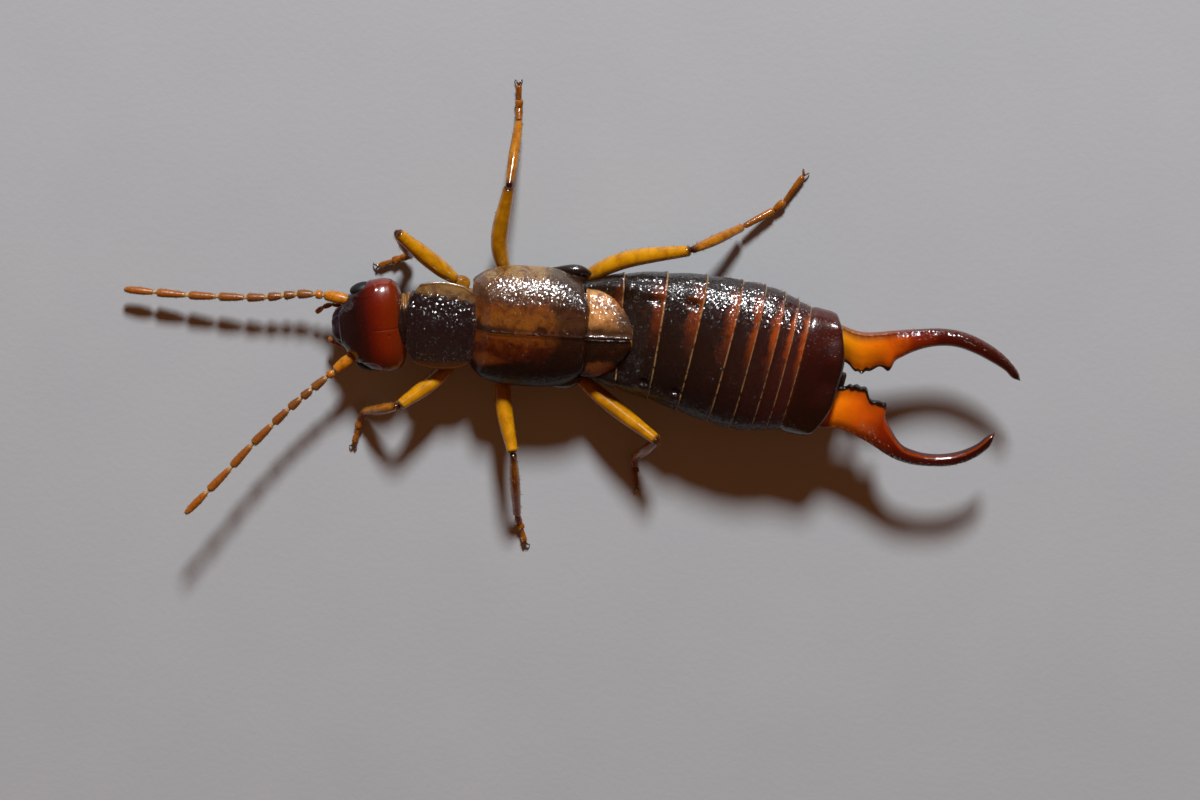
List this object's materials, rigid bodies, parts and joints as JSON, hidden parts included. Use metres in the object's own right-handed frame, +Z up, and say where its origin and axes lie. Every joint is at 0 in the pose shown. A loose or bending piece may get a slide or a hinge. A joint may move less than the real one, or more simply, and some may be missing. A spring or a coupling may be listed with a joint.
{
  "type": "earwig",
  "caption": "Life-size adult male earwig standing on its legs: long ringed abdomen, short wing cases and a pair of curved, toothed forceps at the tail.",
  "frame": {"origin": "on the ground, under the middle of the bounding box", "axes": "-Y the way the insect faces, +Y towards the forceps, +X its left side, +Z up"},
  "size_m": [0.0124, 0.0226, 0.0022],
  "materials": {
    "head_cuticle": "glossy deep red-brown, paler at the back",
    "dark_cuticle": "glossy black-brown",
    "eye": "black, fine facets",
    "antenna": "satin brown with pale joints",
    "pronotum": "glossy black-brown disc with tan margins",
    "wing_case": "satin leathery brown",
    "wing_tip": "satin brown with a pale spot",
    "abdomen_cuticle": "glossy dark red-brown, finely pitted",
    "forceps": "glossy amber to dark red",
    "amber_leg": "glossy translucent amber"
  },
  "bodies": {
    "root": {"head": "head_cuticle", "mouthparts": "dark_cuticle", "eye_left": "eye", "eye_right": "eye", "antenna_left": "antenna", "antenna_right": "antenna", "pronotum": "pronotum", "thorax": "amber_leg", "wing_case_left": "wing_case", "wing_case_right": "wing_case", "wing_tip_left": "wing_tip", "wing_tip_right": "wing_tip", "abdomen": "abdomen_cuticle", "last_tergite": "abdomen_cuticle", "pygidium": "dark_cuticle", "forceps_left": "forceps", "forceps_right": "forceps", "leg_front_left": "amber_leg", "leg_front_right": "amber_leg", "leg_mid_left": "amber_leg", "leg_mid_right": "amber_leg", "leg_hind_left": "amber_leg", "leg_hind_right": "amber_leg"}
  },
  "joints": []
}
